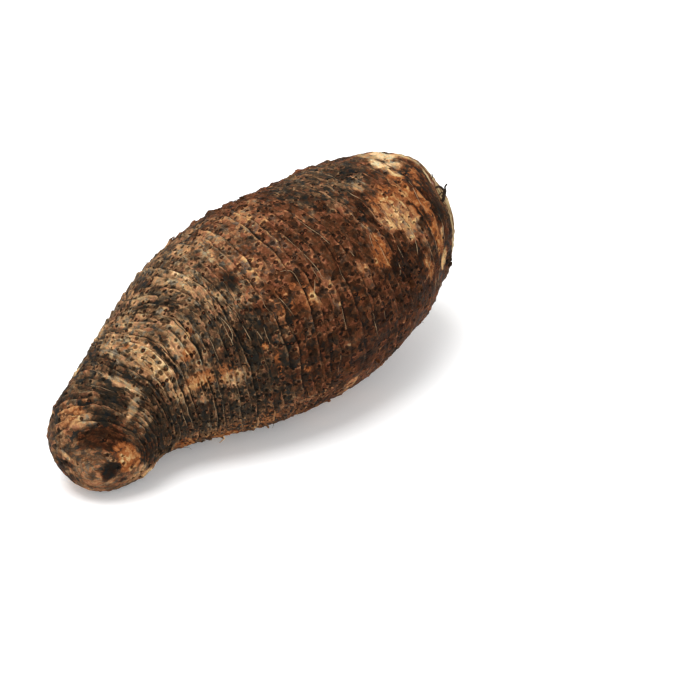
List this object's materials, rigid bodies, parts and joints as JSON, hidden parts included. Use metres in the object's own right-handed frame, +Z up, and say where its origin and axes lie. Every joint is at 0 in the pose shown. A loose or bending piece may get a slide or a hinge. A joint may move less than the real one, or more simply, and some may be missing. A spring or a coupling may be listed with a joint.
{
  "type": "taro corm",
  "caption": "Whole taro corm, a long spindle ringed by leaf scars with root pits and bud eyes between them, with a narrow blunt foot and a cut crown.",
  "frame": {"origin": "on the surface that the corm lies on, under the centre of its bounding box", "axes": "+X along the corm from its narrow foot to its cut crown, +Z up as it lies, +Y to the side that the foot bends towards"},
  "size_m": [0.2593, 0.1157, 0.1104],
  "materials": {
    "skin": "dry fibrous bark-like skin, dark brown to black with tan rings and patches, matt"
  },
  "bodies": {
    "root": {"corm": "skin"}
  },
  "joints": []
}
